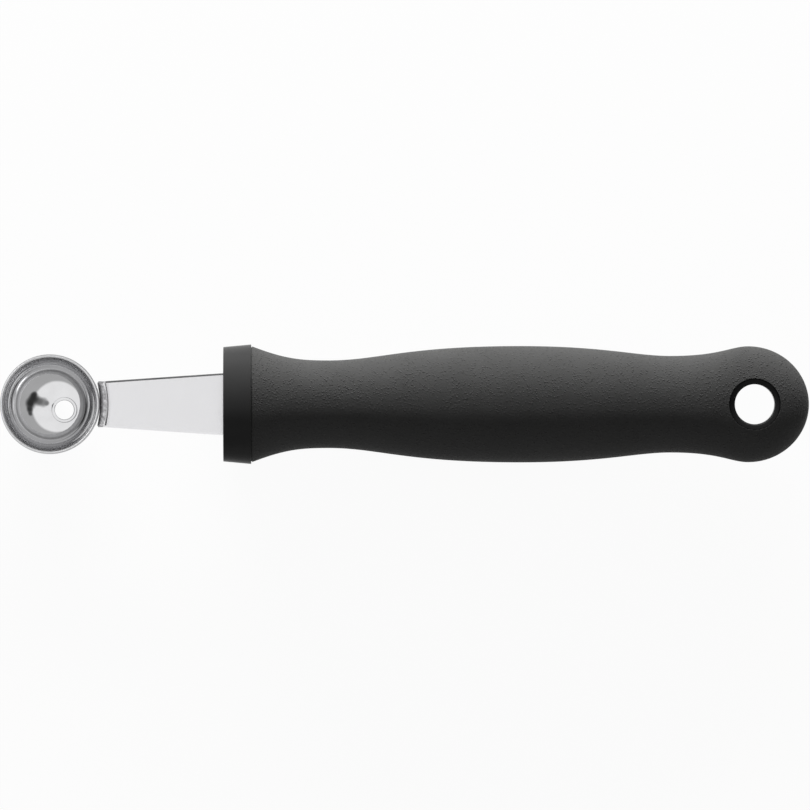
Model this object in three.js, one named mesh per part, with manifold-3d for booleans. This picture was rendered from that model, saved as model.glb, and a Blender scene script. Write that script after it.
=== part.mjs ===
// A fruit corer. A drawn steel scoop is welded to a flat steel shank, and the shank's barbed tang
// is driven through a gloss collar into the hard core of a soft-gripped handle. The core reaches to
// the handle's end, where it lines the hang hole as an eyelet.
// Millimetres. X runs along the tool from the scoop to the hang hole, Y across it, and Z up out of
// the scoop's mouth. The origin is under the middle of the tool, on the surface that it lies on.
import * as THREE from 'three';
import { mergeVertices } from 'three/addons/utils/BufferGeometryUtils.js';
import Module from 'manifold-3d';

// Scoop
const CUP_DIAMETER = 22.2;
const CUP_DEPTH = 11.5; // outside, from the rim to the lowest point
const CUP_WALL_HEIGHT = 3.3; // the straight wall under the rim
const CUP_SHEET = 0.7;
const RIM_BEVEL = 0.2;
const VENT_DIAMETER = 4.2;
const VENT_OFFSET = 3.35; // the scoop's axis to the middle of the vent
const VENT_TURN = -22; // degrees from the handle's direction
const VENT_CHAMFER = 0.3;

// Shank
const HEAD_REACH = 49.7; // front of the scoop to the front of the collar
const STRIP_THICKNESS = 1.2;
const BLADE_WIDTH_AT_CUP = 10.2;
const BLADE_WIDTH_AT_COLLAR = 13.8;
const BEND_RADIUS = 0.4; // inside the bend between blade and flange
const FLANGE_DROP = 5.5; // top of the blade to the lower edge of the flange
const FLANGE_CORNER = 2;
const RIM_RISE = 0.5; // the scoop's rim above the blade
const TANG_WIDTH = 7;
const TANG_LENGTH = 44; // behind the blade's shoulders
const TANG_TIP_CHAMFER = 1.5;
const BARB_COUNT = 4; // on each edge of the tang
const BARB_HEIGHT = 0.7;
const BARB_RAMP = 3;
const BARB_PITCH = 6;
const FIRST_BARB = 15; // the shoulders to the first barb

// Collar
const COLLAR_LENGTH = 6.2;
const COLLAR_STEP_ACROSS = 0.45; // how far its rear stands out past the grip on each side
const COLLAR_STEP_UP = 0.3; // and on each face
const COLLAR_TAPER_ACROSS = 1.1; // how much narrower its front is than its rear
const COLLAR_TAPER_UP = 1; // and how much thinner
const COLLAR_EDGE = 0.15; // broken front edge
const SHOULDER_SEAT = 2; // the depth at which the blade's shoulders sit in the collar
const SPIGOT_LENGTH = 4.5; // the boss that plugs into the core
const SPIGOT_WALL = 1.6;

// Handle: lengths between the stations of its outline, and the width and thickness at each
const FRONT_TO_WAIST = 16.8;
const WAIST_TO_BELLY = 42.7;
const BELLY_TO_NECK = 33.5;
const NECK_TO_CROWN = 17.3;
const CROWN_TO_END = 13.5;
const FRONT_WIDTH = 25.7;
const FRONT_THICKNESS = 20.2;
const WAIST_WIDTH = 19.5;
const WAIST_THICKNESS = 17.4;
const BELLY_WIDTH = 25.9;
const BELLY_THICKNESS = 20.8;
const NECK_WIDTH = 21.5;
const NECK_THICKNESS = 16.2;
const CROWN_WIDTH = 25.8;
const CROWN_THICKNESS = 14.4;
const FRONT_FLARE = 21; // degrees by which the outline narrows behind the collar
// How long the outline keeps near a station, as a share of the stretch before or behind it
const FRONT_HOLD_BEHIND = 0.42;
const WAIST_HOLD_BEFORE = 0.37;
const WAIST_HOLD_BEHIND = 0.26;
const BELLY_HOLD_BEFORE = 0.6;
const BELLY_HOLD_BEHIND = 0.56;
const NECK_HOLD_BEFORE = 0.23;
const NECK_HOLD_BEHIND = 0.64;
const CROWN_HOLD_BEFORE = 0.23;
const END_FULLNESS = 3; // 2 rounds the end's edge like an ellipse, more is blunter
const OVAL_POWER = 2.2; // 2 makes the cross-sections ellipses, more makes them fuller
const HANG_DIAMETER = 8.9;
const HANG_FROM_END = 12.1;

// Core
const GRIP_WALL = 2.6; // the grip's thickness over the core
const KEY_COUNT = 3; // windows through the core, which the grip fills
const KEY_LENGTH = 10;
const KEY_WIDTH = 5;
const KEY_PITCH = 16;
const TANG_TO_KEY = 5; // the tip of the tang to the first window
const EYELET_WALL = 1.1; // the ring of core that lines the hang hole
const EYELET_RECESS = 0.3; // that ring below the sides of the grip's mouth
const EYELET_CHAMFER = 0.3;

// Clearances
const WELD_GAP = 0.2; // scoop to flange
const SLIP = 0.15; // flat sides of the tang and blade in their slots
const MOULD_GAP = 0.3; // curved mouldings in each other
const PARTING_LINE = 0.3; // collar to grip

// Finishes
const POLISHED_STEEL = { color: 0xd4d5d8, roughness: 0.12, metalness: 1 };
const SATIN_STEEL = { color: 0xd0d0d3, roughness: 0.3, metalness: 1 };
const GLOSS_BLACK = { color: 0x0c0c0d, roughness: 0.15, metalness: 0 };
const GRAINED_BLACK = { color: 0x1c1c1c, roughness: 0.55, metalness: 0 };

// How finely curves are cut
const CUP_SEGMENTS = 48;
const BEND_SEGMENTS = 96;
const HOLE_SEGMENTS = 48;
const ARC_STEPS = 6;
const BOWL_STEPS = 8;
const SPAN_STEPS = 6;
const END_STEPS = 6;
const GRIP_SIDES = 40;
const CORE_SIDES = 24;
const WELD_TOLERANCE = 1e-4;
const OVERSHOOT = 1; // how far a cutting solid runs past what it cuts
const LAP = 0.2; // how far two solids that are joined run into each other

const wasm = await Module();
wasm.setup();

// The collar follows the front of the grip that it meets
const collarRearWidth = FRONT_WIDTH + 2 * COLLAR_STEP_ACROSS;
const collarRearThickness = FRONT_THICKNESS + 2 * COLLAR_STEP_UP;

// Stations along X, measured from the collar's rear face, where the handle begins
const shoulderX = SHOULDER_SEAT - COLLAR_LENGTH;
const cupRadius = CUP_DIAMETER / 2;
const cupX = cupRadius - HEAD_REACH - COLLAR_LENGTH;
const tangTipX = shoulderX + TANG_LENGTH;
const waistX = PARTING_LINE + FRONT_TO_WAIST;
const bellyX = waistX + WAIST_TO_BELLY;
const neckX = bellyX + BELLY_TO_NECK;
const crownX = neckX + NECK_TO_CROWN;
const endX = crownX + CROWN_TO_END;
const hangX = endX - HANG_FROM_END;

// Levels along Z, measured from the handle's axis, which is also the middle of the strip
const bladeTop = STRIP_THICKNESS / 2;
const rimZ = bladeTop + RIM_RISE;
const axisHeight = Math.max(BELLY_THICKNESS / 2, collarRearThickness / 2, CUP_DEPTH - rimZ);

// The eyelet in the hang hole, and the mouth that the grip leaves round it on both faces
const hangRadius = HANG_DIAMETER / 2;
const eyeletRadius = hangRadius + EYELET_WALL;
const mouthRadius = eyeletRadius + MOULD_GAP;
const mouthRounding = (mouthRadius / (CROWN_WIDTH / 2)) ** OVAL_POWER;
const mouthZ = (CROWN_THICKNESS / 2) * (1 - mouthRounding) ** (1 / OVAL_POWER);
const eyeletZ = mouthZ - EYELET_RECESS;

// The slot that takes the barbed tang, in the collar and in the core
const slotHalfWidth = TANG_WIDTH / 2 + BARB_HEIGHT + SLIP;
const slotHalfThickness = STRIP_THICKNESS / 2 + SLIP;

// A solid that can be joined and cut, from a closed geometry.
function solidFrom(geometry) {
  const bare = geometry.clone();
  bare.deleteAttribute('normal');
  bare.deleteAttribute('uv');
  const welded = mergeVertices(bare, WELD_TOLERANCE);
  const corners = welded.index.array;
  const triangles = [];
  for (let i = 0; i < corners.length; i += 3) {
    const [a, b, c] = corners.slice(i, i + 3);
    if (a !== b && b !== c && c !== a) {
      triangles.push(a, b, c);
    }
  }
  const mesh = new wasm.Mesh({
    numProp: 3,
    vertProperties: welded.attributes.position.array,
    triVerts: new Uint32Array(triangles),
  });
  return new wasm.Manifold(mesh);
}

function geometryFrom(solid) {
  const { vertProperties, triVerts } = solid.getMesh();
  const geometry = new THREE.BufferGeometry();
  geometry.setAttribute('position', new THREE.BufferAttribute(vertProperties, 3));
  geometry.setIndex(new THREE.BufferAttribute(triVerts, 1));
  geometry.computeVertexNormals();
  return geometry;
}

// A solid of revolution about Z. The profile holds [radius, z] pairs, outside upwards.
function revolve(profile, segments) {
  const points = profile.map(([radius, z]) => new THREE.Vector2(radius, z));
  return solidFrom(new THREE.LatheGeometry(points, segments).rotateX(Math.PI / 2));
}

// An XY outline pushed up from one level to another.
function prism(shape, bottom, top) {
  const options = { depth: top - bottom, bevelEnabled: false, curveSegments: ARC_STEPS };
  return solidFrom(new THREE.ExtrudeGeometry(shape, options).translate(0, 0, bottom));
}

// A YZ outline pushed along X from one station to another.
function lengthwisePrism(shape, front, rear) {
  const options = { depth: rear - front, bevelEnabled: false, curveSegments: ARC_STEPS };
  const geometry = new THREE.ExtrudeGeometry(shape, options);
  return solidFrom(geometry.rotateX(Math.PI / 2).rotateZ(Math.PI / 2).translate(front, 0, 0));
}

// An outline that is the same on both sides of the X axis, from the [x, y] points of one side.
function mirrored(side) {
  const far = side.map(([x, y]) => [x, -y]).reverse();
  return new THREE.Shape([...side, ...far].map(([x, y]) => new THREE.Vector2(x, y)));
}

function slot(front, rear, halfWidth, halfThickness) {
  return prism(mirrored([[front, halfWidth], [rear, halfWidth]]), -halfThickness, halfThickness);
}

// A point of an oval cross-section with the given half sizes, at an angle from the Y axis.
function ovalPoint(halfWidth, halfThickness, angle) {
  const reach = (ratio) => Math.sign(ratio) * Math.abs(ratio) ** (2 / OVAL_POWER);
  return [halfWidth * reach(Math.cos(angle)), halfThickness * reach(Math.sin(angle))];
}

// A closed body through oval sections along X. Its ends are flat, or run to a point at tipX.
function loft(sections, sides, tipX = sections.at(-1).x) {
  const positions = [];
  const triangles = [];
  for (const { x, halfWidth, halfThickness } of sections) {
    for (let side = 0; side < sides; side += 1) {
      positions.push(x, ...ovalPoint(halfWidth, halfThickness, (side / sides) * 2 * Math.PI));
    }
  }
  for (let ring = 0; ring < sections.length - 1; ring += 1) {
    for (let side = 0; side < sides; side += 1) {
      const here = ring * sides + side;
      const next = ring * sides + ((side + 1) % sides);
      triangles.push(here, next, here + sides);
      triangles.push(next, next + sides, here + sides);
    }
  }
  const frontMiddle = positions.push(sections[0].x, 0, 0) / 3 - 1;
  const rearMiddle = positions.push(tipX, 0, 0) / 3 - 1;
  const lastRing = (sections.length - 1) * sides;
  for (let side = 0; side < sides; side += 1) {
    const next = (side + 1) % sides;
    triangles.push(frontMiddle, next, side);
    triangles.push(rearMiddle, lastRing + side, lastRing + next);
  }
  const geometry = new THREE.BufferGeometry();
  geometry.setAttribute('position', new THREE.Float32BufferAttribute(positions, 3));
  geometry.setIndex(triangles);
  return solidFrom(geometry);
}

// One stretch of the handle's outline. It leaves its first station at a slope, reaches the second
// level, and keeps near each for the given share of the stretch.
function outlineSpan(x0, size0, slope, hold0, x1, size1, hold1) {
  const run = x1 - x0;
  return new THREE.CubicBezierCurve(
    new THREE.Vector2(x0, size0),
    new THREE.Vector2(x0 + hold0 * run, size0 + slope * hold0 * run),
    new THREE.Vector2(x1 - hold1 * run, size1),
    new THREE.Vector2(x1, size1),
  );
}

// The handle's outline from the front to the crown of its end, in plan or from the side.
function handleOutline(front, waist, belly, neck, crown, frontSlope) {
  return [
    outlineSpan(
      PARTING_LINE, front / 2, frontSlope, FRONT_HOLD_BEHIND, waistX, waist / 2, WAIST_HOLD_BEFORE,
    ),
    outlineSpan(waistX, waist / 2, 0, WAIST_HOLD_BEHIND, bellyX, belly / 2, BELLY_HOLD_BEFORE),
    outlineSpan(bellyX, belly / 2, 0, BELLY_HOLD_BEHIND, neckX, neck / 2, NECK_HOLD_BEFORE),
    outlineSpan(neckX, neck / 2, 0, NECK_HOLD_BEHIND, crownX, crown / 2, CROWN_HOLD_BEFORE),
  ];
}

// The handle's sections from the front to the crown, made smaller all round by an inset.
function handleSections(inset) {
  const flare = -Math.tan(THREE.MathUtils.degToRad(FRONT_FLARE));
  const thinning = flare * ((FRONT_THICKNESS - WAIST_THICKNESS) / (FRONT_WIDTH - WAIST_WIDTH));
  const plan = handleOutline(
    FRONT_WIDTH, WAIST_WIDTH, BELLY_WIDTH, NECK_WIDTH, CROWN_WIDTH, flare,
  );
  const side = handleOutline(
    FRONT_THICKNESS, WAIST_THICKNESS, BELLY_THICKNESS, NECK_THICKNESS, CROWN_THICKNESS, thinning,
  );
  const sections = [];
  plan.forEach((span, index) => {
    for (let step = index === 0 ? 0 : 1; step <= SPAN_STEPS; step += 1) {
      const { x, y: halfWidth } = span.getPoint(step / SPAN_STEPS);
      const { y: halfThickness } = side[index].getPoint(step / SPAN_STEPS);
      sections.push({ x, halfWidth: halfWidth - inset, halfThickness: halfThickness - inset });
    }
  });
  return sections;
}

// The round end of the handle, from behind the crown to just short of its tip, with the same inset.
function endSections(inset) {
  const sections = [];
  for (let step = 1; step < END_STEPS; step += 1) {
    const along = Math.sin((step / END_STEPS) * (Math.PI / 2));
    const fullness = (1 - along ** END_FULLNESS) ** (1 / END_FULLNESS);
    sections.push({
      x: crownX + (CROWN_TO_END - inset) * along,
      halfWidth: (CROWN_WIDTH / 2 - inset) * Math.sqrt(1 - along ** 2),
      halfThickness: (CROWN_THICKNESS / 2 - inset) * fullness,
    });
  }
  return sections;
}

// The whole handle from a front station to its tip, made smaller all round by an inset.
function handleForm(frontX, inset, sides) {
  const [front, ...rest] = [...handleSections(inset), ...endSections(inset)];
  return loft([{ ...front, x: frontX }, ...rest], sides, endX - inset);
}

// A quarter of an ellipse from the axis up to the wall of a bowl, as [radius, z] pairs.
function bowlCurve(radius, depth) {
  return Array.from({ length: BOWL_STEPS }, (_, step) => {
    const angle = (step / BOWL_STEPS) * (Math.PI / 2);
    return [radius * Math.sin(angle), -CUP_WALL_HEIGHT - depth * Math.cos(angle)];
  });
}

// Cuts the vent square to the sheet, with a chamfer towards the inside of the bowl.
function ventCutter(innerRadius, innerBowlDepth) {
  const radius = VENT_DIAMETER / 2;
  const angle = Math.asin(VENT_OFFSET / innerRadius);
  const depth = innerBowlDepth * Math.cos(angle);
  const lean = Math.atan2(VENT_OFFSET / innerRadius ** 2, depth / innerBowlDepth ** 2);
  const profile = [
    [0, -CUP_SHEET - OVERSHOOT],
    [radius, -CUP_SHEET - OVERSHOOT],
    [radius, -VENT_CHAMFER],
    [radius + VENT_CHAMFER + OVERSHOOT, OVERSHOOT],
    [0, OVERSHOOT],
  ];
  return revolve(profile, HOLE_SEGMENTS)
    .rotate([0, -THREE.MathUtils.radToDeg(lean), 0])
    .translate([VENT_OFFSET, 0, -CUP_WALL_HEIGHT - depth])
    .rotate([0, 0, VENT_TURN]);
}

// The scoop: a straight wall over an elliptical bottom, with its rim at Z 0.
function scoopCup() {
  const innerRadius = cupRadius - CUP_SHEET;
  const outerBowlDepth = CUP_DEPTH - CUP_WALL_HEIGHT;
  const innerBowlDepth = outerBowlDepth - CUP_SHEET;
  const shell = revolve([
    ...bowlCurve(cupRadius, outerBowlDepth),
    [cupRadius, -CUP_WALL_HEIGHT],
    [cupRadius, -RIM_BEVEL],
    [cupRadius - RIM_BEVEL, 0],
    [innerRadius + RIM_BEVEL, 0],
    [innerRadius, -RIM_BEVEL],
    [innerRadius, -CUP_WALL_HEIGHT],
    ...bowlCurve(innerRadius, innerBowlDepth).reverse(),
  ], CUP_SEGMENTS);
  return shell.subtract(ventCutter(innerRadius, innerBowlDepth));
}

// A quarter turn about [radius, z], from straight up to towards the scoop, as [radius, z] pairs.
function bendArc(centreRadius, centreZ, arcRadius) {
  return Array.from({ length: ARC_STEPS + 1 }, (_, step) => {
    const angle = (step / ARC_STEPS) * (Math.PI / 2);
    return [centreRadius - arcRadius * Math.sin(angle), centreZ + arcRadius * Math.cos(angle)];
  });
}

// The shank: a flange bent down round the scoop's wall, a blade that widens to the collar, and the
// tang, whose barbs slope towards its tip.
function shank() {
  const faceRadius = cupRadius + WELD_GAP;
  const outerBend = BEND_RADIUS + STRIP_THICKNESS;
  const flatRadius = faceRadius + outerBend;
  const halfAtCup = BLADE_WIDTH_AT_CUP / 2;
  const halfAtCollar = BLADE_WIDTH_AT_COLLAR / 2;
  const plateX = cupX + flatRadius + LAP;
  const ringRadius = Math.hypot(plateX - cupX, halfAtCup) + LAP;
  const bendZ = bladeTop - outerBend;
  const ring = revolve([
    [faceRadius, bladeTop - FLANGE_DROP],
    [faceRadius + STRIP_THICKNESS, bladeTop - FLANGE_DROP],
    ...bendArc(flatRadius, bendZ, BEND_RADIUS).reverse(),
    [ringRadius, -bladeTop],
    [ringRadius, bladeTop],
    ...bendArc(flatRadius, bendZ, outerBend),
    [faceRadius, bladeTop - FLANGE_DROP],
  ], BEND_SEGMENTS).translate([cupX, 0, 0]);

  const flangeFront = new THREE.Shape();
  const cornerY = halfAtCup - FLANGE_CORNER;
  const cornerZ = bladeTop - FLANGE_DROP + FLANGE_CORNER;
  flangeFront.moveTo(halfAtCup, bladeTop + OVERSHOOT);
  flangeFront.lineTo(-halfAtCup, bladeTop + OVERSHOOT);
  flangeFront.absarc(-cornerY, cornerZ, FLANGE_CORNER, Math.PI, Math.PI * 1.5);
  flangeFront.absarc(cornerY, cornerZ, FLANGE_CORNER, Math.PI * 1.5, Math.PI * 2);
  const flange = ring.intersect(lengthwisePrism(flangeFront, cupX, cupX + ringRadius + OVERSHOOT));

  const halfTang = TANG_WIDTH / 2;
  const side = [
    [plateX, halfAtCup],
    [-COLLAR_LENGTH, halfAtCollar],
    [shoulderX, halfAtCollar],
    [shoulderX, halfTang],
  ];
  for (let barb = 0; barb < BARB_COUNT; barb += 1) {
    const x = shoulderX + FIRST_BARB + barb * BARB_PITCH;
    side.push([x, halfTang], [x, halfTang + BARB_HEIGHT], [x + BARB_RAMP, halfTang]);
  }
  side.push([tangTipX - TANG_TIP_CHAMFER, halfTang], [tangTipX, halfTang - TANG_TIP_CHAMFER]);
  return flange.add(prism(mirrored(side), -bladeTop, bladeTop));
}

// The boss behind the collar, or with a gap all round it the socket that takes it.
function spigot(gap) {
  const sizes = {
    halfWidth: slotHalfWidth + SPIGOT_WALL + gap,
    halfThickness: slotHalfThickness + SPIGOT_WALL + gap,
  };
  return loft([{ x: -OVERSHOOT, ...sizes }, { x: SPIGOT_LENGTH + gap, ...sizes }], CORE_SIDES);
}

// The collar: an oval bolster with a seat for the blade's shoulders and a slot for the tang.
function collar() {
  const rear = { halfWidth: collarRearWidth / 2, halfThickness: collarRearThickness / 2 };
  const front = {
    halfWidth: rear.halfWidth - COLLAR_TAPER_ACROSS / 2,
    halfThickness: rear.halfThickness - COLLAR_TAPER_UP / 2,
  };
  const frontFace = {
    halfWidth: front.halfWidth - COLLAR_EDGE,
    halfThickness: front.halfThickness - COLLAR_EDGE,
  };
  const bolster = loft([
    { x: -COLLAR_LENGTH, ...frontFace },
    { x: COLLAR_EDGE - COLLAR_LENGTH, ...front },
    { x: 0, ...rear },
  ], GRIP_SIDES);
  const seatHalfWidth = BLADE_WIDTH_AT_COLLAR / 2 + SLIP;
  const seat = slot(-COLLAR_LENGTH - OVERSHOOT, shoulderX, seatHalfWidth, slotHalfThickness);
  const tangSlot = slot(
    shoulderX - OVERSHOOT, SPIGOT_LENGTH + OVERSHOOT, slotHalfWidth, slotHalfThickness,
  );
  return bolster.add(spigot(0)).subtract(seat).subtract(tangSlot);
}

// A round post through the handle's end, about the middle of the hang hole.
function hangPost(radius, halfHeight) {
  const profile = [[0, -halfHeight], [radius, -halfHeight], [radius, halfHeight], [0, halfHeight]];
  return revolve(profile, HOLE_SEGMENTS).translate([hangX, 0, 0]);
}

// The core's outer form, with its eyelet and its key windows. A gap makes the form larger and its
// windows smaller, which is the space that the grip leaves for it.
function coreForm(gap) {
  const bar = handleForm(0, GRIP_WALL - gap, CORE_SIDES);
  const tall = Math.max(FRONT_THICKNESS, BELLY_THICKNESS);
  let form = bar.add(hangPost(eyeletRadius + gap, eyeletZ + gap));
  const roundX = (KEY_LENGTH - KEY_WIDTH) / 2;
  for (let key = 0; key < KEY_COUNT; key += 1) {
    const x = tangTipX + TANG_TO_KEY + KEY_LENGTH / 2 + key * KEY_PITCH;
    const window = new THREE.Shape();
    window.absarc(x + roundX, 0, KEY_WIDTH / 2 - gap, -Math.PI / 2, Math.PI / 2);
    window.absarc(x - roundX, 0, KEY_WIDTH / 2 - gap, Math.PI / 2, Math.PI * 1.5);
    form = form.subtract(prism(window, -tall, tall));
  }
  return form;
}

// The hang hole, with a chamfer at both ends of the eyelet.
function hangCutter() {
  const flared = hangRadius + EYELET_CHAMFER + OVERSHOOT;
  const profile = [
    [0, -eyeletZ - OVERSHOOT],
    [flared, -eyeletZ - OVERSHOOT],
    [hangRadius, EYELET_CHAMFER - eyeletZ],
    [hangRadius, eyeletZ - EYELET_CHAMFER],
    [flared, eyeletZ + OVERSHOOT],
    [0, eyeletZ + OVERSHOOT],
  ];
  return revolve(profile, HOLE_SEGMENTS).translate([hangX, 0, 0]);
}

// The core, with the socket for the collar's boss, the slot that the tang is driven into and the
// hang hole.
function handleCore() {
  const tangSlot = slot(-OVERSHOOT, tangTipX + SLIP, slotHalfWidth, slotHalfThickness);
  return coreForm(0).subtract(spigot(MOULD_GAP)).subtract(tangSlot).subtract(hangCutter());
}

// The grip: the handle's outer form, hollow for the core, with a mouth on both faces for its eyelet.
function grip() {
  const tall = Math.max(NECK_THICKNESS, CROWN_THICKNESS);
  return handleForm(PARTING_LINE, 0, GRIP_SIDES)
    .subtract(coreForm(MOULD_GAP))
    .subtract(hangPost(mouthRadius, tall));
}

function addPart(group, name, solid, finish) {
  const mesh = new THREE.Mesh(geometryFrom(solid), new THREE.MeshStandardMaterial(finish));
  mesh.name = name;
  group.add(mesh);
  return mesh;
}

const tool = new THREE.Group();
addPart(tool, 'scoop_cup', scoopCup(), POLISHED_STEEL).position.set(cupX, 0, rimZ);
addPart(tool, 'shank', shank(), SATIN_STEEL);
addPart(tool, 'collar', collar(), GLOSS_BLACK);
addPart(tool, 'handle_core', handleCore(), GLOSS_BLACK);
addPart(tool, 'grip', grip(), GRAINED_BLACK);
tool.position.set(-(cupX - cupRadius + endX) / 2, 0, axisHeight);

export default tool;
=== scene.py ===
"""The looks of a fruit corer: fine meshes over its solids, their finishes, and a plain studio."""
import math

import bmesh
import bpy
import numpy as np
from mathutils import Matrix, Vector


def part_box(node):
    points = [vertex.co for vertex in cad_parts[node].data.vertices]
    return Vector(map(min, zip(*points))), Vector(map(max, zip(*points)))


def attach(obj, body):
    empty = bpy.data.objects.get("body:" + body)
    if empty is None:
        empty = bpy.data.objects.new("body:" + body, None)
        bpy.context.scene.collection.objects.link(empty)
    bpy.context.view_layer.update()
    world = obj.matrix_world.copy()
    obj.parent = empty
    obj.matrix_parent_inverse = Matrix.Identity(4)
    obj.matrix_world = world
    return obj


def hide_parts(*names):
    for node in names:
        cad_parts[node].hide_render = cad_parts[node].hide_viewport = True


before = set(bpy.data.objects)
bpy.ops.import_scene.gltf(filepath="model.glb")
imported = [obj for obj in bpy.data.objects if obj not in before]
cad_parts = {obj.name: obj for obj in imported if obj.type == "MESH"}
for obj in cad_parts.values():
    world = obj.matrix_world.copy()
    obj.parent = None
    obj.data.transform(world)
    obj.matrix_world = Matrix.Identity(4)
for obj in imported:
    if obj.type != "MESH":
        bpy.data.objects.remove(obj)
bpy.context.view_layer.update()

MM = 0.001

# Scoop
CUP_WALL_HEIGHT = 3.3 * MM
CUP_SHEET = 0.7 * MM
RIM_ROUND = 0.3 * MM
VENT_RADIUS = 2.1 * MM
VENT_OFFSET = 3.35 * MM
VENT_TURN = math.radians(-22)
VENT_EDGE = 0.2 * MM
VENT_LIP_WIDTH = 0.8 * MM
VENT_STEP = 0.05 * MM
VENT_STEP_WIDTH = 0.2 * MM

# Shank
STRIP_THICKNESS = 1.2 * MM
BEVEL_WIDTH = 0.4 * MM
BEVEL_DEPTH = 0.34 * MM
BLADE_WIDTH_AT_CUP = 10.2 * MM
BLADE_WIDTH_AT_COLLAR = 13.8 * MM
BEND_RADIUS = 0.4 * MM
BEAD_RISE = 0.1 * MM
BEAD_EDGE = 0.4 * MM
FLANGE_DROP = 5.5 * MM
FLANGE_CORNER = 2 * MM
FLANGE_ROUND = 20 * MM
TANG_WIDTH = 7 * MM
BARB_COUNT = 4
BARB_HEIGHT = 0.7 * MM
BARB_RAMP = 3 * MM
BARB_PITCH = 6 * MM
FIRST_BARB = 15 * MM
TANG_TIP_CHAMFER = 1.5 * MM
STEP_RUN = 0.02 * MM

# Collar
COLLAR_TAPER = (1.1 * MM, 1 * MM)
COLLAR_EDGE = 0.12 * MM
SHOULDER_SEAT = 2 * MM
SPIGOT_LENGTH = 4.5 * MM
SPIGOT_WALL = 1.6 * MM
SLIP = 0.15 * MM

# Handle: lengths between its stations, and the width and thickness at each
PARTING_LINE = 0.3 * MM
FRONT_TO_WAIST = 16.8 * MM
WAIST_TO_BELLY = 42.7 * MM
BELLY_TO_NECK = 33.5 * MM
NECK_TO_CROWN = 17.3 * MM
FRONT = (25.7 * MM, 20.2 * MM)
WAIST = (19.5 * MM, 17.4 * MM)
BELLY = (25.9 * MM, 20.8 * MM)
NECK = (21.5 * MM, 16.2 * MM)
CROWN = (25.8 * MM, 14.4 * MM)
FRONT_FLARE = math.radians(21)
# How long the outline keeps its direction at both ends of a stretch, as shares of that stretch
FRONT_HOLDS = (0.42, 0.37)
WAIST_HOLDS = (0.26, 0.6)
BELLY_HOLDS = (0.56, 0.23)
NECK_HOLDS = (0.64, 0.23)
END_FULLNESS = 3
OVAL_POWER = 2.2
GRIP_SEAM = 0.02 * MM
GRIP_EDGE = 0.08 * MM
GROOVE_WIDTH = 0.2 * MM
GROOVE_DEPTH = 0.16 * MM
GRIP_WALL = 2.3 * MM
HANG_FROM_END = 12.1 * MM
MOUTH_RADIUS = 5.72 * MM
MOUTH_EDGE = 0.05 * MM

# How finely curves are cut
CUP_SEGMENTS = 192
LIP_RINGS = 24
BOWL_RINGS = 60
BOWL_CROWDING = 1.6
WALL_RINGS = 6
ROUND_STEPS = 8
STRIP_ROWS = 24
BEND_STEPS = 24
BEAD_STEPS = 12
BLADE_STEPS = 40
OVAL_SIDES = 160
SPAN_STEPS = 40
END_SEGMENTS = 144
LIP_STEPS = 8
END_RINGS = 48
OUTLINE_HALVINGS = 48
SHARP_ANGLE = math.radians(32)
TINY = 0.001 * MM

# Places taken from the solids
cup_low, cup_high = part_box("scoop_cup")
collar_low, collar_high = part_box("collar")
_, shank_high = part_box("shank")
grip_low, grip_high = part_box("grip")
cup_radius = (cup_high.y - cup_low.y) / 2
cup_x = (cup_low.x + cup_high.x) / 2
rim_z = cup_high.z
cup_depth = cup_high.z - cup_low.z
axis_z = (grip_low.z + grip_high.z) / 2
joint_x = grip_low.x - PARTING_LINE
collar_rear = (collar_high.y - collar_low.y, collar_high.z - collar_low.z)
collar_front_x = collar_low.x
shoulder_x = collar_front_x + SHOULDER_SEAT
waist_x = grip_low.x + FRONT_TO_WAIST
belly_x = waist_x + WAIST_TO_BELLY
neck_x = belly_x + BELLY_TO_NECK
crown_x = neck_x + NECK_TO_CROWN
end_x = grip_high.x
hang_x = end_x - HANG_FROM_END


class Mesh:
    """Collects rings of points and the faces between them."""

    def __init__(self):
        self.points = []
        self.faces = []

    def ring(self, points):
        first = len(self.points)
        self.points.extend(tuple(point) for point in points)
        return list(range(first, len(self.points)))

    def bridge(self, ring, other):
        count = len(ring)
        for i in range(count):
            j = (i + 1) % count
            self.faces.append([ring[i], ring[j], other[j], other[i]])

    def chain(self, rings, around=False):
        for ring, other in zip(rings, rings[1:]):
            self.bridge(ring, other)
        if around:
            self.bridge(rings[-1], rings[0])

    def cap(self, ring):
        self.faces.append(list(ring))

    def piece(self, name, node, slot, material):
        """Makes a piece of the collected faces that stands for a node of the solids."""
        mesh = bpy.data.meshes.new(name)
        mesh.from_pydata(self.points, [], self.faces)
        mesh.validate()
        mesh.shade_smooth()
        mesh.set_sharp_from_angle(angle=SHARP_ANGLE)
        mesh.materials.append(material)
        piece = bpy.data.objects.new(name, mesh)
        bpy.context.scene.collection.objects.link(piece)
        turn_faces_out(mesh)
        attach(piece, "root")
        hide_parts(node)


def turn_faces_out(mesh):
    work = bmesh.new()
    work.from_mesh(mesh)
    bmesh.ops.recalc_face_normals(work, faces=work.faces)
    work.to_mesh(mesh)
    work.free()


def quarter(steps):
    """Angles of a quarter turn, both ends included."""
    return [i / steps * math.pi / 2 for i in range(steps + 1)]


def signed_power(value, power):
    return math.copysign(abs(value) ** power, value)


def oval(half_width, half_thickness):
    """Points of an oval cross-section as (y, z), from +Y upwards."""
    turns = [i / OVAL_SIDES * 2 * math.pi for i in range(OVAL_SIDES)]
    return [
        (
            half_width * signed_power(math.cos(turn), 2 / OVAL_POWER),
            half_thickness * signed_power(math.sin(turn), 2 / OVAL_POWER),
        )
        for turn in turns
    ]


def at_x(section, x):
    """Places a (y, z) section across the tool's axis."""
    return [(x, y, axis_z + z) for y, z in section]


# The scoop

cup_turns = [i / CUP_SEGMENTS * 2 * math.pi for i in range(CUP_SEGMENTS)]


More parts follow.
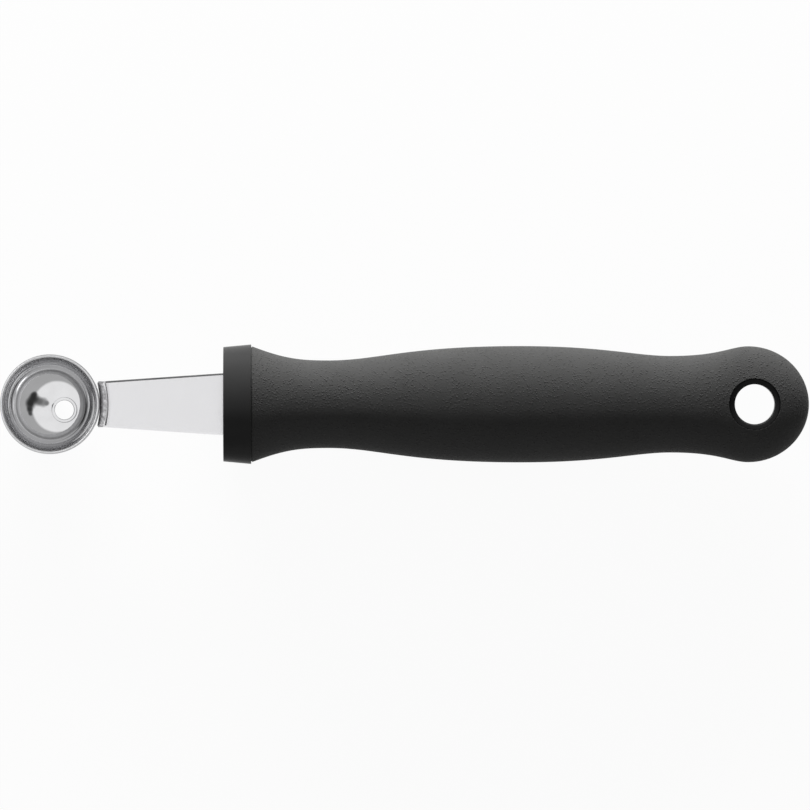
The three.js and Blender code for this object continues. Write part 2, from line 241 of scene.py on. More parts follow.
def bowl_depth(radius, reach, depth):
    """How deep an elliptical bottom lies below its edge at a radius."""
    return depth * math.sqrt(max(0, 1 - (radius / reach) ** 2))


def vent_drop(from_edge):
    """How far the lip round the vent is pressed below the bowl, at a distance from its edge."""
    inside = min(1, max(0, (VENT_LIP_WIDTH - from_edge) / VENT_STEP_WIDTH))
    drop = VENT_STEP * (1 - math.cos(inside * math.pi)) / 2
    if from_edge < VENT_EDGE:
        drop += VENT_EDGE - math.sqrt(VENT_EDGE ** 2 - (VENT_EDGE - from_edge) ** 2)
    return drop


def bowl_rings(mesh, reach, depth, lip):
    """Rings from the vent to the edge of the bottom: circles round the vent as far as its lip, which
    then slide to the middle of the scoop. The lip is pressed in on one face only."""
    lip_end = VENT_RADIUS + VENT_LIP_WIDTH
    near = np.linspace(VENT_RADIUS, lip_end, LIP_RINGS, endpoint=False)
    left = np.linspace(1, 0, BOWL_RINGS, endpoint=False) ** BOWL_CROWDING
    far = reach - (reach - lip_end) * left
    rings = []
    for radius in (*near, *far):
        slide = VENT_OFFSET * min(1, (reach - radius) / (reach - lip_end))
        drop = vent_drop(radius - VENT_RADIUS) if lip else 0
        points = []
        for turn in cup_turns:
            x = slide * math.cos(VENT_TURN) + radius * math.cos(turn)
            y = slide * math.sin(VENT_TURN) + radius * math.sin(turn)
            z = -CUP_WALL_HEIGHT - bowl_depth(math.hypot(x, y), reach, depth) - drop
            points.append((cup_x + x, y, rim_z + z))
        rings.append(mesh.ring(points))
    return rings


def cup_ring(mesh, radius, z):
    points = [(cup_x + radius * math.cos(t), radius * math.sin(t), rim_z + z) for t in cup_turns]
    return mesh.ring(points)


def build_scoop(material):
    mesh = Mesh()
    inner = cup_radius - CUP_SHEET
    outer_depth = cup_depth - CUP_WALL_HEIGHT
    straight = CUP_WALL_HEIGHT - RIM_ROUND
    wall = [-CUP_WALL_HEIGHT + straight * i / WALL_RINGS for i in range(WALL_RINGS)]
    rings = bowl_rings(mesh, inner, outer_depth - CUP_SHEET, True)
    rings += [cup_ring(mesh, inner, z) for z in wall]
    for angle in quarter(ROUND_STEPS):
        rise = RIM_ROUND * (math.sin(angle) - 1)
        rings.append(cup_ring(mesh, inner + RIM_ROUND * (1 - math.cos(angle)), rise))
    for angle in quarter(ROUND_STEPS):
        drop = RIM_ROUND * (math.cos(angle) - 1)
        rings.append(cup_ring(mesh, cup_radius - RIM_ROUND * (1 - math.sin(angle)), drop))
    rings += [cup_ring(mesh, cup_radius, z) for z in reversed(wall)]
    rings += reversed(bowl_rings(mesh, cup_radius, outer_depth, False))
    mesh.chain(rings, around=True)
    mesh.piece("scoop", "scoop_cup", "scoop_steel", material)


# The shank

LYING = math.pi / 2
half_strip = STRIP_THICKNESS / 2
bend_radius = BEND_RADIUS + half_strip
flange_radius = cup_radius + half_strip
flat_radius = flange_radius + bend_radius
collar_radius = collar_front_x - cup_x
half_at_cup = BLADE_WIDTH_AT_CUP / 2
half_at_collar = BLADE_WIDTH_AT_COLLAR / 2


def strip_section(half_width):
    """A flat strip with bevelled long edges, as (across, up) points, from +Y upwards."""
    side = half_strip - BEVEL_DEPTH
    flat = half_width - BEVEL_WIDTH
    across = [flat * (1 - 2 * row / STRIP_ROWS) for row in range(STRIP_ROWS + 1)]
    upper = [(half_width, side), *((y, half_strip) for y in across), (-half_width, side)]
    return upper + [(-y, -up) for y, up in upper]


def flange_stations():
    stations = []
    for angle in quarter(ROUND_STEPS):
        height = half_strip - FLANGE_DROP + FLANGE_CORNER * (1 - math.cos(angle))
        half = half_at_cup - FLANGE_CORNER * (1 - math.sin(angle))
        stations.append((flange_radius, height, 0, half))
    for angle in quarter(BEND_STEPS):
        radius = flat_radius - bend_radius * math.cos(angle)
        height = bend_radius * (math.sin(angle) - 1)
        stations.append((radius, height, angle, half_at_cup))
    return stations


def blade_stations():
    stations = []
    bead_end = flat_radius + BEAD_EDGE
    bead = np.linspace(flat_radius, bead_end, BEAD_STEPS + 1)[1:]
    flat = np.linspace(bead_end, collar_radius, BLADE_STEPS + 1)[1:]
    for radius in (*bead, *flat):
        share = (radius - flat_radius) / (collar_radius - flat_radius)
        half = half_at_cup + (half_at_collar - half_at_cup) * share
        stations.append((radius, 0, LYING, half))
    return stations


def tang_stations():
    shoulder = shoulder_x - cup_x
    tip = shank_high.x - cup_x
    half_tang = TANG_WIDTH / 2
    stations = [(shoulder, 0, LYING, half_at_collar), (shoulder + STEP_RUN, 0, LYING, half_tang)]
    for barb in range(BARB_COUNT):
        radius = shoulder + FIRST_BARB + barb * BARB_PITCH
        stations.append((radius - STEP_RUN, 0, LYING, half_tang))
        stations.append((radius, 0, LYING, half_tang + BARB_HEIGHT))
        stations.append((radius + BARB_RAMP, 0, LYING, half_tang))
    stations.append((tip - TANG_TIP_CHAMFER, 0, LYING, half_tang))
    stations.append((tip, 0, LYING, half_tang - TANG_TIP_CHAMFER))
    return stations


def shank_stations():
    """The middle of the strip from the flange's lower edge to the tip of the tang: the distance from
    the scoop's axis, the height, the tilt of the strip's upper face, and half its width."""
    return flange_stations() + blade_stations() + tang_stations()


def bead_rise(radius, tilt):
    """How far the weld bead over the bend stands above the strip's upper face."""
    share = min(1, max(0, (radius - flat_radius) / BEAD_EDGE))
    return BEAD_RISE * math.sin(tilt) * (1 + math.cos(share * math.pi)) / 2


def build_shank(material):
    """The strip is rounded across at the flange, and more and more straight towards the collar."""
    mesh = Mesh()
    rings = []
    for radius, height, tilt, half_width in shank_stations():
        straight = min(1, max(0, (radius - flat_radius) / (collar_radius - flat_radius)))
        rise = bead_rise(radius, tilt) / half_strip
        points = []
        for across, up in strip_section(half_width):
            up += rise * max(0, up)
            reach = radius - up * math.cos(tilt)
            sag = FLANGE_ROUND - math.sqrt(FLANGE_ROUND ** 2 - across ** 2)
            x = cup_x + reach - sag * (1 - straight)
            points.append((x, across, axis_z + height + up * math.sin(tilt)))
        rings.append(mesh.ring(points))
    mesh.chain(rings)
    mesh.cap(rings[0])
    mesh.cap(rings[-1])
    mesh.piece("shank_strip", "shank", "shank_steel", material)


# The collar

def slot_outline(half_width, half_thickness):
    """A rectangle's points as (y, z), one for each point of an oval round it."""
    around = half_width * 2
    points = []
    for y, z in oval(around, around):
        stretch = min(half_width / max(abs(y), TINY), half_thickness / max(abs(z), TINY))
        points.append((y * stretch, z * stretch))
    return points


def build_collar(material):
    mesh = Mesh()
    rear_w, rear_t = (size / 2 for size in collar_rear)
    front_w = rear_w - COLLAR_TAPER[0] / 2
    front_t = rear_t - COLLAR_TAPER[1] / 2
    slot_t = half_strip + SLIP
    tang_w = TANG_WIDTH / 2 + BARB_HEIGHT + SLIP
    seat_slot = slot_outline(half_at_collar + SLIP, slot_t)
    tang_slot = slot_outline(tang_w, slot_t)
    spigot = oval(tang_w + SPIGOT_WALL, slot_t + SPIGOT_WALL)
    spigot_end = joint_x + SPIGOT_LENGTH
    sections = [(shoulder_x, tang_slot), (shoulder_x, seat_slot), (collar_front_x, seat_slot)]
    for angle in quarter(ROUND_STEPS):
        inset = COLLAR_EDGE * (1 - math.sin(angle))
        x = collar_front_x + COLLAR_EDGE * (1 - math.cos(angle))
        sections.append((x, oval(front_w - inset, front_t - inset)))
    for angle in quarter(ROUND_STEPS):
        inset = COLLAR_EDGE * (1 - math.cos(angle))
        x = joint_x - COLLAR_EDGE * (1 - math.sin(angle))
        sections.append((x, oval(rear_w - inset, rear_t - inset)))
    sections += [(joint_x, spigot), (spigot_end, spigot), (spigot_end, tang_slot)]
    rings = [mesh.ring(at_x(section, x)) for x, section in sections]
    mesh.chain(rings, around=True)
    mesh.piece("collar_bolster", "collar", "collar_plastic", material)


# The grip

def span(start, start_size, slope, end, end_size, holds):
    """Points (x, half size) of one stretch of the handle's outline, a cubic curve between stations."""
    run = end - start
    ends = np.array([[start, start_size], [end, end_size]])
    leave = np.array([start + holds[0] * run, start_size + slope * holds[0] * run])
    arrive = np.array([end - holds[1] * run, end_size])
    t = np.linspace(0, 1, SPAN_STEPS + 1)[:, None]
    return (
        (1 - t) ** 3 * ends[0]
        + 3 * (1 - t) ** 2 * t * leave
        + 3 * (1 - t) * t ** 2 * arrive
        + t ** 3 * ends[1]
    )


def handle_outline(axis, slope_at_front):
    """The outline from the grip's front to the crown of its end, in plan (0) or from the side (1)."""
    stops = [(grip_low.x, FRONT), (waist_x, WAIST), (belly_x, BELLY), (neck_x, NECK), (crown_x, CROWN)]
    all_holds = [FRONT_HOLDS, WAIST_HOLDS, BELLY_HOLDS, NECK_HOLDS]
    stretches = []
    for index, holds in enumerate(all_holds):
        (start, start_size), (end, end_size) = stops[index], stops[index + 1]
        slope = slope_at_front if index == 0 else 0
        points = span(start, start_size[axis] / 2, slope, end, end_size[axis] / 2, holds)
        stretches.append(points if index == 0 else points[1:])
    return np.concatenate(stretches)


plan_slope = -math.tan(FRONT_FLARE)
side_slope = plan_slope * (FRONT[1] - WAIST[1]) / (FRONT[0] - WAIST[0])
plan_outline = handle_outline(0, plan_slope)
side_outline = handle_outline(1, side_slope)


def half_sizes(x, inset=0):
    """The handle's half width and half thickness at a station, made smaller by an inset."""
    if x <= crown_x:
        half_width = np.interp(x, plan_outline[:, 0], plan_outline[:, 1])
        half_thickness = np.interp(x, side_outline[:, 0], side_outline[:, 1])
        return float(half_width) - inset, float(half_thickness) - inset
    along = min(1, (x - crown_x) / (end_x - inset - crown_x))
    fullness = (1 - along ** END_FULLNESS) ** (1 / END_FULLNESS)
    return (CROWN[0] / 2 - inset) * math.sqrt(1 - along ** 2), (CROWN[1] / 2 - inset) * fullness


def upper_height(x, y, inset):
    """The height of the handle's upper surface over its middle plane."""
    half_width, half_thickness = half_sizes(x, inset)
    if half_width <= abs(y):
        return 0
    return half_thickness * (1 - (abs(y) / half_width) ** OVAL_POWER) ** (1 / OVAL_POWER)


def reach_to_outline(turn, inset):
    """How far the outline of the handle's end lies from the middle of the hang hole."""
    inside, outside = 0, CROWN[0] + NECK_TO_CROWN
    for _ in range(OUTLINE_HALVINGS):
        middle = (inside + outside) / 2
        x = hang_x + middle * math.cos(turn)
        y = middle * math.sin(turn)
        within = x < end_x - inset and abs(y) < half_sizes(x, inset)[0]
        inside, outside = (middle, outside) if within else (inside, middle)
    return inside


def end_rays(inset):
    """Directions and lengths from the middle of the hang hole: first across the neck, from its +Y
    side to its -Y side, and then round the end."""
    half_width, _ = half_sizes(neck_x, inset)
    rays = []
    for y, _ in oval(half_width, half_width)[: OVAL_SIDES // 2 + 1]:
        rays.append((math.atan2(y, neck_x - hang_x), math.hypot(y, neck_x - hang_x)))
    start = rays[-1][0]
    stop = rays[0][0]
    for i in range(1, END_SEGMENTS):
        turn = start + (stop - start) * i / END_SEGMENTS
        rays.append((turn, reach_to_outline(turn, inset)))
    return rays


def end_half(mesh, rays, face, inset, edge):
    """The upper (1) or lower (-1) half of the handle's end, as rings from its mouth round the hang
    hole, which the edge rounds, to the last one before the outline."""
    steps = []
    for angle in quarter(LIP_STEPS) if edge else [0]:
        distance = MOUTH_RADIUS + edge * (1 - math.cos(angle))
        steps.append(([distance] * len(rays), edge * (1 - math.sin(angle))))
    start = MOUTH_RADIUS + edge
    for ring in range(1, END_RINGS):
        share = math.sin(ring / END_RINGS * math.pi / 2)
        steps.append(([start + (length - start) * share for _, length in rays], 0))
    rings = []
    for distances, drop in steps:
        points = []
        for (turn, _), distance in zip(rays, distances):
            x = hang_x + distance * math.cos(turn)
            y = distance * math.sin(turn)
            points.append((x, y, axis_z + face * (upper_height(x, y, inset) - drop)))
        rings.append(mesh.ring(points))
    return rings


def handle_shell(mesh, front, inset, edge):
    """The handle's surface at an inset, behind the (x, section) pairs of its front. Gives the ring
    at its front and those at its mouths on both faces."""
    body = [mesh.ring(at_x(section, x)) for x, section in front]
    for x in plan_outline[:, 0]:
        if front[-1][0] < x <= neck_x:
            body.append(mesh.ring(at_x(oval(*half_sizes(x, inset)), x)))
    rays = end_rays(inset)
    upper = end_half(mesh, rays, 1, inset, edge)
    lower = end_half(mesh, rays, -1, inset, edge)
    middle = OVAL_SIDES // 2
    outline = []
    for turn, length in rays[middle + 1:]:
        outline.append((hang_x + length * math.cos(turn), length * math.sin(turn), axis_z))
    edge_ring = mesh.ring(outline)
    neck_ring = body[-1]
    mesh.chain(body)
    mesh.chain(upper + [neck_ring[: middle + 1] + edge_ring])
    mesh.chain(lower + [[neck_ring[-i % OVAL_SIDES] for i in range(middle + 1)] + edge_ring])
    return body[0], upper[0], lower[0]


def build_grip(material):
    mesh = Mesh()
    front_x = joint_x + GRIP_SEAM
    groove_x = joint_x + GROOVE_WIDTH
    front_w, front_t = half_sizes(front_x)
    groove = oval(front_w - GROOVE_DEPTH, front_t - GROOVE_DEPTH)
    front = [(front_x, groove), (groove_x, groove)]
    for angle in quarter(ROUND_STEPS):
        inset = GRIP_EDGE * (1 - math.sin(angle))
        x = groove_x + GRIP_EDGE * (1 - math.cos(angle))
        front.append((x, oval(front_w - inset, front_t - inset)))
    outer = handle_shell(mesh, front, 0, MOUTH_EDGE)
    inner_front = (front_x, oval(*half_sizes(front_x, GRIP_WALL)))
    inner = handle_shell(mesh, [inner_front], GRIP_WALL, 0)
    for ring, other in zip(outer, inner):
        mesh.bridge(ring, other)
    mesh.piece("grip_skin", "grip", "grip_rubber", material)


# Finishes

# The values between which noise mostly stays
NOISE_RANGE = (0.3, 0.7)
NEUTRAL = (1, 1, 1)

# Polished steel: depths below the scoop's rim at which its zones set in, and what they do to the grey,
# which holds painted light and shade
DRAWN_WALL = (9 * MM, 7 * MM)
UPPER_WALL = (5.6 * MM, 4.9 * MM)
RIM_BAND = (0.5 * MM, 0.2 * MM)
# Painted shade: a dark ring painted into the grey at this depth below the rim
PAINTED_RING_DEPTH = 8.42 * MM
PAINTED_RING_WIDTH = (0.08 * MM, 0.28 * MM)
# The drawn wall's grey next to the bottom's 1, partly its duller finish and partly painted shade
DRAWN_SHADE = 0.8
# Painted light: the upper wall is made lighter to make up for the light it loses between reflections
UPPER_PAINTED_LIGHT = 0.4
# Painted shade: the rim is made darker
RIM_PAINTED_SHADE = 0.33
# Darkness of the painted dark ring
PAINTED_RING_SHADE = 0.7
POLISHED_GREY = (0.60, 0.64)
POLISHED_TINT = (1, 1, 1.012)
POLISHED_ROUGHNESS = (0.03, 0.06)
UPPER_ROUGHNESS = 0.3
HAZE_SIZE = 2.5 * MM
HAZE_DETAIL = 5.0
RIPPLE_SIZE = 3 * MM
RIPPLE_DETAIL = 1.0
RIPPLE_DEPTH = 0.01 * MM

# Satin steel, with a weld whose end lies this far out from the scoop
WELD_ZONE = (1.5 * MM, 1.9 * MM)
WELD_SHADES = (0.35, 0.85)
WELD_ROUGHNESS = 0.4
PATCH_SIZE = 0.6 * MM
PATCH_DETAIL = 3.0
SATIN_GREY = (0.70, 0.72)
SATIN_TINT = (1, 0.997, 1.015)
SATIN_ROUGHNESS = (0.17, 0.21)
MOTTLE_SIZE = 3.5 * MM
MOTTLE_DETAIL = 4.0
SATIN_GRAIN_SIZE = 0.6 * MM
SATIN_GRAIN_DETAIL = 2.0
SATIN_GRAIN_DEPTH = 0.002 * MM

# Gloss black
COLLAR_GREY = (0.027, 0.031)
# The core's gloss black, a little darker than the collar's as painted shade on its ring round the hang
# hole
CORE_GREY_AND_SHADE = (0.022, 0.026)
GLOSS_ROUGHNESS = (0.26, 0.32)
GLOSS_SPECULAR = 0.03
FLOW_SIZE = 6 * MM
FLOW_DETAIL = 2.0
FLOW_STRETCH = (0.5, 1, 1)
PEEL_SIZE = 0.8 * MM
PEEL_DETAIL = 3.0
PEEL_DEPTH = 0.002 * MM

# Grained black
GRIP_GREY = (0.043, 0.047)
GRIP_TINT = (1, 1, 0.99)
GRIP_ROUGHNESS = (0.6, 0.75)
GRIP_SPECULAR = 0.05
TONE_SIZE = 9 * MM
TONE_DETAIL = 3.0
GRAIN_SIZE = 0.34 * MM
GRAIN_DETAIL = 2.0
GRAIN_SHARE = 0.8
PEBBLE_SIZE = 0.6 * MM
PEBBLE_SLOPE = (0.05, 0.4)
GRAIN_DEPTH = 0.13 * MM


class Nodes:
    """Adds nodes to a tree, with their input values and links."""

    def __init__(self, tree):
        self.tree = tree

    def set(self, socket, value):
        if isinstance(value, bpy.types.NodeSocket):
            self.tree.links.new(value, socket)
        else:
            socket.default_value = value

    def add(self, kind, *values, settings=None, **inputs):
        """A node with values for its first inputs, in order, and for others by name."""
        node = self.tree.nodes.new(kind)
        for name, value in (settings or {}).items():
            setattr(node, name, value)
        for socket, value in zip(node.inputs, values):
            self.set(socket, value)
        for name, value in inputs.items():
            self.set(node.inputs[name], value)
        return node

    def math(self, operation, *values):
        return self.add("ShaderNodeMath", *values, settings={"operation": operation}).outputs[0]

    def vector(self, operation, *values):
        return self.add("ShaderNodeVectorMath", *values, settings={"operation": operation}).outputs

    def mix(self, share, first, second):
        return self.add("ShaderNodeMix", share, A=first, B=second).outputs[0]

    def spread(self, value, low, high, to_low, to_high):
        """Carries a value from one range to another with soft ends."""
        soft = {"interpolation_type": "SMOOTHSTEP"}
        node = self.add("ShaderNodeMapRange", value, low, high, to_low, to_high, settings=soft)
        return node.outputs[0]

    def vary(self, value, low, high):
        """A number between two others, steered by a noise value."""
        return self.add("ShaderNodeMapRange", value, *NOISE_RANGE, low, high).outputs[0]

    def noise(self, place, size, detail, stretch=NEUTRAL):
        """Noise with features of about the given size."""
        mapping = self.add("ShaderNodeMapping", Vector=place, Scale=stretch).outputs[0]
        texture = self.add("ShaderNodeTexNoise", Vector=mapping, Scale=1 / size, Detail=detail)
        return texture.outputs["Fac"]

    def grey(self, level, tint):
        """A colour from a grey level, with a slight tint."""
        shades = [self.math("MULTIPLY", level, share) for share in tint]
        return self.add("ShaderNodeCombineColor", *shades).outputs[0]

    def bump(self, height, depth):
        return self.add("ShaderNodeBump", Height=height, Distance=depth).outputs[0]


def new_material(name):
    """A material with its nodes, the inputs of its shader, and places on the surface."""
    material = bpy.data.materials.new(name)
    material.use_nodes = True
    nodes = Nodes(material.node_tree)
    surface = material.node_tree.nodes["Principled BSDF"].inputs
    place = nodes.add("ShaderNodeTexCoord").outputs["Object"]
    return material, nodes, surface, place


def polished_steel():
    """Bright in the bowl, and duller up its drawn wall, with light and shade painted into its grey by
    height.
    """
    material, nodes, surface, place = new_material("polished_steel")
    haze = nodes.noise(place, HAZE_SIZE, HAZE_DETAIL)
    height = nodes.add("ShaderNodeSeparateXYZ", place).outputs["Z"]
    drawn_low, drawn_high = (rim_z - down for down in DRAWN_WALL)
    upper_low, upper_high = (rim_z - down for down in UPPER_WALL)
    rim_low, rim_high = (rim_z - down for down in RIM_BAND)
    # Greys by height: the drawn wall partly duller and partly painted shade, a painted lighter upper
    # wall, a painted darker rim and a painted dark ring
    drawn = nodes.spread(height, drawn_low, drawn_high, 1, DRAWN_SHADE)
    upper = nodes.spread(height, upper_low, upper_high, 0, 1)
    rim = nodes.spread(height, rim_low, rim_high, 0, -RIM_PAINTED_SHADE)
    # A painted dark ring at its depth below the rim
    from_painted_ring = nodes.math("ABSOLUTE", nodes.math("SUBTRACT", height, rim_z - PAINTED_RING_DEPTH))
    painted_ring = nodes.spread(from_painted_ring, *PAINTED_RING_WIDTH, PAINTED_RING_SHADE, 1)
    # The zones' greys together, painted light and shade among them
    finish_and_painted_light = nodes.math("ADD", nodes.math("MULTIPLY_ADD", upper, UPPER_PAINTED_LIGHT, drawn), rim)
    finish_and_painted_light = nodes.math("MULTIPLY", finish_and_painted_light, painted_ring)
    level = nodes.math("MULTIPLY", nodes.vary(haze, *POLISHED_GREY), finish_and_painted_light)
    dull = nodes.math("MULTIPLY_ADD", upper, UPPER_ROUGHNESS, nodes.vary(haze, *POLISHED_ROUGHNESS))
    ripple = nodes.noise(place, RIPPLE_SIZE, RIPPLE_DETAIL)
    nodes.set(surface["Base Color"], nodes.grey(level, POLISHED_TINT))
    nodes.set(surface["Metallic"], 1.0)
    nodes.set(surface["Roughness"], dull)
    nodes.set(surface["Normal"], nodes.bump(ripple, RIPPLE_DEPTH))
    return material


def satin_steel():
    """Satin along the blade, and dull and uneven round the weld."""
    material, nodes, surface, place = new_material("satin_steel")
    mottle = nodes.noise(place, MOTTLE_SIZE, MOTTLE_DETAIL)
    plan = nodes.vector("MULTIPLY", place, (1, 1, 0))["Vector"]
    from_axis = nodes.vector("DISTANCE", plan, (cup_x, 0, 0))["Value"]
    near, far = (cup_radius + out for out in WELD_ZONE)
    weld = nodes.spread(from_axis, near, far, 1, 0)
    patches = nodes.vary(nodes.noise(place, PATCH_SIZE, PATCH_DETAIL), *WELD_SHADES)
    fade = nodes.mix(weld, 1.0, patches)
    level = nodes.math("MULTIPLY", nodes.vary(mottle, *SATIN_GREY), fade)
    dull = nodes.math("MULTIPLY_ADD", weld, WELD_ROUGHNESS, nodes.vary(mottle, *SATIN_ROUGHNESS))
    grain = nodes.noise(place, SATIN_GRAIN_SIZE, SATIN_GRAIN_DETAIL)
    nodes.set(surface["Base Color"], nodes.grey(level, SATIN_TINT))
    nodes.set(surface["Metallic"], 1.0)
    nodes.set(surface["Roughness"], dull)
    nodes.set(surface["Normal"], nodes.bump(grain, SATIN_GRAIN_DEPTH))
    return material


def gloss_black(name, greys):
    """Moulded plastic, with a faint flow along the tool and a fine orange peel."""
    material, nodes, surface, place = new_material(name)
    flow = nodes.noise(place, FLOW_SIZE, FLOW_DETAIL, stretch=FLOW_STRETCH)
    peel = nodes.noise(place, PEEL_SIZE, PEEL_DETAIL)
    nodes.set(surface["Base Color"], nodes.grey(nodes.vary(flow, *greys), NEUTRAL))
    nodes.set(surface["Roughness"], nodes.vary(flow, *GLOSS_ROUGHNESS))
    nodes.set(surface["Specular IOR Level"], GLOSS_SPECULAR)
    nodes.set(surface["Normal"], nodes.bump(peel, PEEL_DEPTH))
    return material


def grained_black():
    """Soft rubber with a fine grain of noise and pebbles."""
    material, nodes, surface, place = new_material("grained_black")
    tone = nodes.noise(place, TONE_SIZE, TONE_DETAIL)
    grain = nodes.noise(place, GRAIN_SIZE, GRAIN_DETAIL)
    cells = nodes.add("ShaderNodeTexVoronoi", Vector=place, Scale=1 / PEBBLE_SIZE).outputs["Distance"]
    pebbles = nodes.spread(cells, *PEBBLE_SLOPE, 1, 0)
    relief = nodes.math("MULTIPLY_ADD", grain, GRAIN_SHARE, pebbles)
    nodes.set(surface["Base Color"], nodes.grey(nodes.vary(tone, *GRIP_GREY), GRIP_TINT))
    nodes.set(surface["Roughness"], nodes.vary(grain, *GRIP_ROUGHNESS))
    nodes.set(surface["Specular IOR Level"], GRIP_SPECULAR)
    nodes.set(surface["Normal"], nodes.bump(relief, GRAIN_DEPTH))
    return material


# Studio

PHOTO_WIDTH = 180.24 * MM
PHOTO_MIDDLE = (0.12 * MM, -0.17 * MM)
CAMERA_HEIGHT = 6.0
CAMERA_REACH = 100.0
FLOOR_SIZE = 40.0
FLOOR_WHITE = 0.95
FLOOR_GREY = 0.85
WHITE = (1, 1, 1, 1)
AMBIENT = 0.2
SOFTBOX = 1.2
WALLS = 0.57
LOW_WALLS = 0.4
FAR_WALL = 0.1
HORIZON = 1.0
# Where these levels meet, by a direction's height, and at the foot of the walls by its way across
HORIZON_TOP = (0.02, 0.06)
FOOT_TOP = (0.2, 0.3)
FOOT_ACROSS = (-0.6, 0.6)
LOW_WALLS_TOP = (0.26, 0.36)
# Spots of the studio: turn, lean, radius and soft edge in degrees, and for most of them a level
SOFTBOX_PLACE = (161, 18, 50, 3)
STAND_SPOTS = (
    (-16, 13, 6, 5, 0.35),
    (-18, 6, 3, 3, 0.3),
    (-15, 22, 6, 5, 0.2),
    (-31, 35, 4, 4, 0.1),
    (-21, 33, 7, 6, 0.04),
    (-3, 37, 8, 6, 0.04),
    (14, 40, 5, 4, 0.06),
    (25, 42, 3, 3, 0.1),
)
HOT_SPOTS = (
    (143, 34, 8, 2, 4.0),
    (182, 22, 5, 2, 1.5),
)
# Strip lights on both sides of the tool
STRIP_DISTANCE = 1.0
STRIP_SIZE = (0.9, 0.2)
STRIP_ELEVATION = math.radians(8.2)
KEY_TURN = math.radians(93)
KEY_POWER = 36.5
FILL_POWER = 2.0


def add_camera():
    camera = bpy.data.cameras.new("camera")
    camera.sensor_fit = "HORIZONTAL"
    camera.angle = 2 * math.atan(PHOTO_WIDTH / 2 / (CAMERA_HEIGHT - axis_z))
    camera.clip_end = CAMERA_REACH
    holder = bpy.data.objects.new("camera", camera)
    holder.location = (*PHOTO_MIDDLE, CAMERA_HEIGHT)
    bpy.context.scene.collection.objects.link(holder)
    bpy.context.scene.camera = holder


def add_light(name, turn, power):
    """A low strip light beside the tool, which gloss doesn't reflect."""
    light = bpy.data.lights.new(name, "AREA")
    light.shape = "RECTANGLE"
    light.size, light.size_y = STRIP_SIZE
    light.energy = power
    holder = bpy.data.objects.new(name, light)
    flat = STRIP_DISTANCE * math.cos(STRIP_ELEVATION)
    height = STRIP_DISTANCE * math.sin(STRIP_ELEVATION)
    place = Vector((flat * math.cos(turn), flat * math.sin(turn), height))
    holder.location = place + Vector((0, 0, axis_z))
    holder.rotation_euler = place.to_track_quat("Z", "Y").to_euler()
    holder.visible_glossy = False
    bpy.context.scene.collection.objects.link(holder)


def seen_directly(nodes):
    """1 for rays from the camera, and for those that reach it by gloss or through glass."""
    rays = nodes.add("ShaderNodeLightPath").outputs
    either = nodes.math("MAXIMUM", rays["Is Camera Ray"], rays["Is Glossy Ray"])
    return nodes.math("MAXIMUM", either, rays["Is Transmission Ray"])


def floor_material():
    """White where it is seen, apart from a share that takes light and shadow."""
    material = bpy.data.materials.new("floor_white")
    material.use_nodes = True
    tree = material.node_tree
    nodes = Nodes(tree)
    tree.nodes.remove(tree.nodes["Principled BSDF"])
    lit = nodes.add("ShaderNodeBsdfDiffuse", Color=(FLOOR_GREY, FLOOR_GREY, FLOOR_GREY, 1)).outputs[0]
    white = nodes.add("ShaderNodeEmission", Color=WHITE, Strength=1.0).outputs[0]
    share = nodes.math("MULTIPLY", seen_directly(nodes), FLOOR_WHITE)
    both = nodes.add("ShaderNodeMixShader", share, lit, white).outputs[0]
    nodes.set(tree.nodes["Material Output"].inputs["Surface"], both)
    return material


def add_floor():
    half = FLOOR_SIZE / 2
    corners = [(-half, -half, 0), (half, -half, 0), (half, half, 0), (-half, half, 0)]
    mesh = bpy.data.meshes.new("floor")
    mesh.from_pydata(corners, [], [(0, 1, 2, 3)])
    mesh.materials.append(floor_material())
    floor = bpy.data.objects.new("floor", mesh)
    bpy.context.scene.collection.objects.link(floor)


def toward(turn, lean):
    """A direction from its turn round Z and its lean from straight up, in degrees."""
    turn, lean = math.radians(turn), math.radians(lean)
    return (math.sin(lean) * math.cos(turn), math.sin(lean) * math.sin(turn), math.cos(lean))


def spot(nodes, direction, turn, lean, radius, blur):
    """1 within an angle of a direction, and 0 outside it, with a soft edge."""
    facing = nodes.vector("DOT_PRODUCT", direction, toward(turn, lean))["Value"]
    inner = math.cos(math.radians(max(0, radius - blur)))
    outer = math.cos(math.radians(radius + blur))
    return nodes.spread(facing, outer, inner, 0, 1)


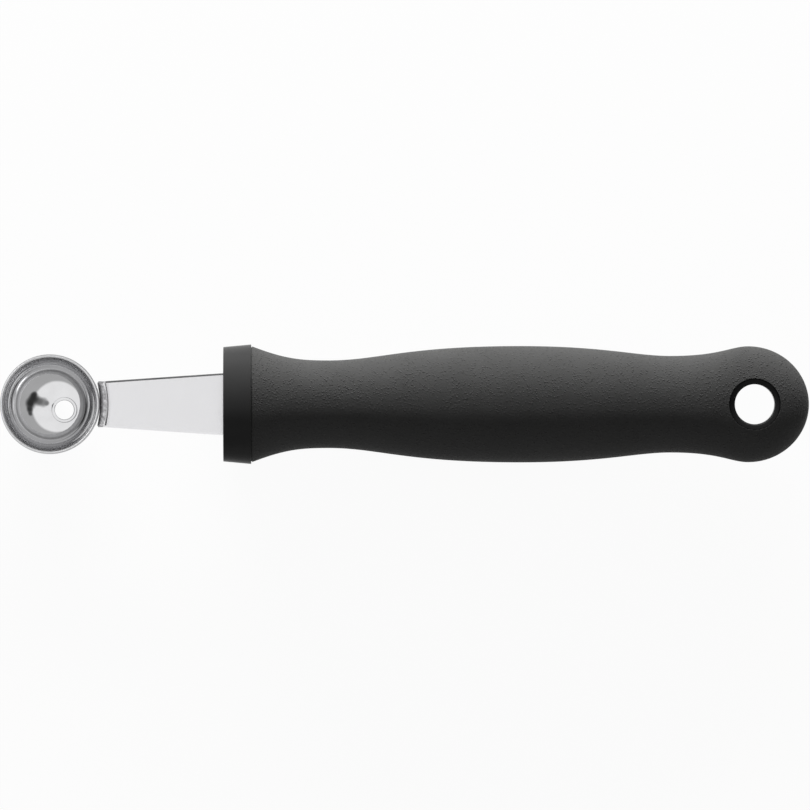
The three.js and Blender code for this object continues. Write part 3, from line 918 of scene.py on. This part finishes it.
def studio_level(nodes):
    """What gloss reflects: a round softbox overhead with hot spots, a dark stand beside it, and walls
    whose foot is light on the -Y side and dark on the +Y side, over a white horizon."""
    direction = nodes.add("ShaderNodeTexCoord").outputs["Generated"]
    axes = nodes.add("ShaderNodeSeparateXYZ", direction).outputs
    foot = nodes.spread(axes["Y"], *FOOT_ACROSS, SOFTBOX, FAR_WALL)
    level = nodes.spread(axes["Z"], *LOW_WALLS_TOP, LOW_WALLS, WALLS)
    level = nodes.mix(nodes.spread(axes["Z"], *FOOT_TOP, 1, 0), level, foot)
    level = nodes.mix(nodes.spread(axes["Z"], *HORIZON_TOP, 1, 0), level, HORIZON)
    level = nodes.mix(spot(nodes, direction, *SOFTBOX_PLACE), level, SOFTBOX)
    for *place, darkness in STAND_SPOTS:
        level = nodes.mix(spot(nodes, direction, *place), level, darkness)
    for *place, brightness in HOT_SPOTS:
        level = nodes.math("MULTIPLY_ADD", spot(nodes, direction, *place), brightness, level)
    return level


def set_world():
    """A studio where it is seen, and an even light for the rest."""
    world = bpy.data.worlds.new("studio")
    bpy.context.scene.world = world
    world.use_nodes = True
    nodes = Nodes(world.node_tree)
    seen = nodes.add("ShaderNodeBackground", Color=WHITE, Strength=studio_level(nodes)).outputs[0]
    ambient = nodes.add("ShaderNodeBackground", Color=WHITE, Strength=AMBIENT).outputs[0]
    both = nodes.add("ShaderNodeMixShader", seen_directly(nodes), ambient, seen).outputs[0]
    output = next(node for node in world.node_tree.nodes if node.type == "OUTPUT_WORLD")
    nodes.set(output.inputs["Surface"], both)


add_camera()
build_scoop(polished_steel())
build_shank(satin_steel())
build_collar(gloss_black("collar_black", COLLAR_GREY))
build_grip(grained_black())
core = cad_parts["handle_core"]
core.data.materials.clear()
core.data.materials.append(gloss_black("core_black", CORE_GREY_AND_SHADE))
add_floor()
add_light("key", KEY_TURN, KEY_POWER)
add_light("fill", -KEY_TURN, FILL_POWER)
set_world()
bpy.context.scene.view_settings.view_transform = "Standard"
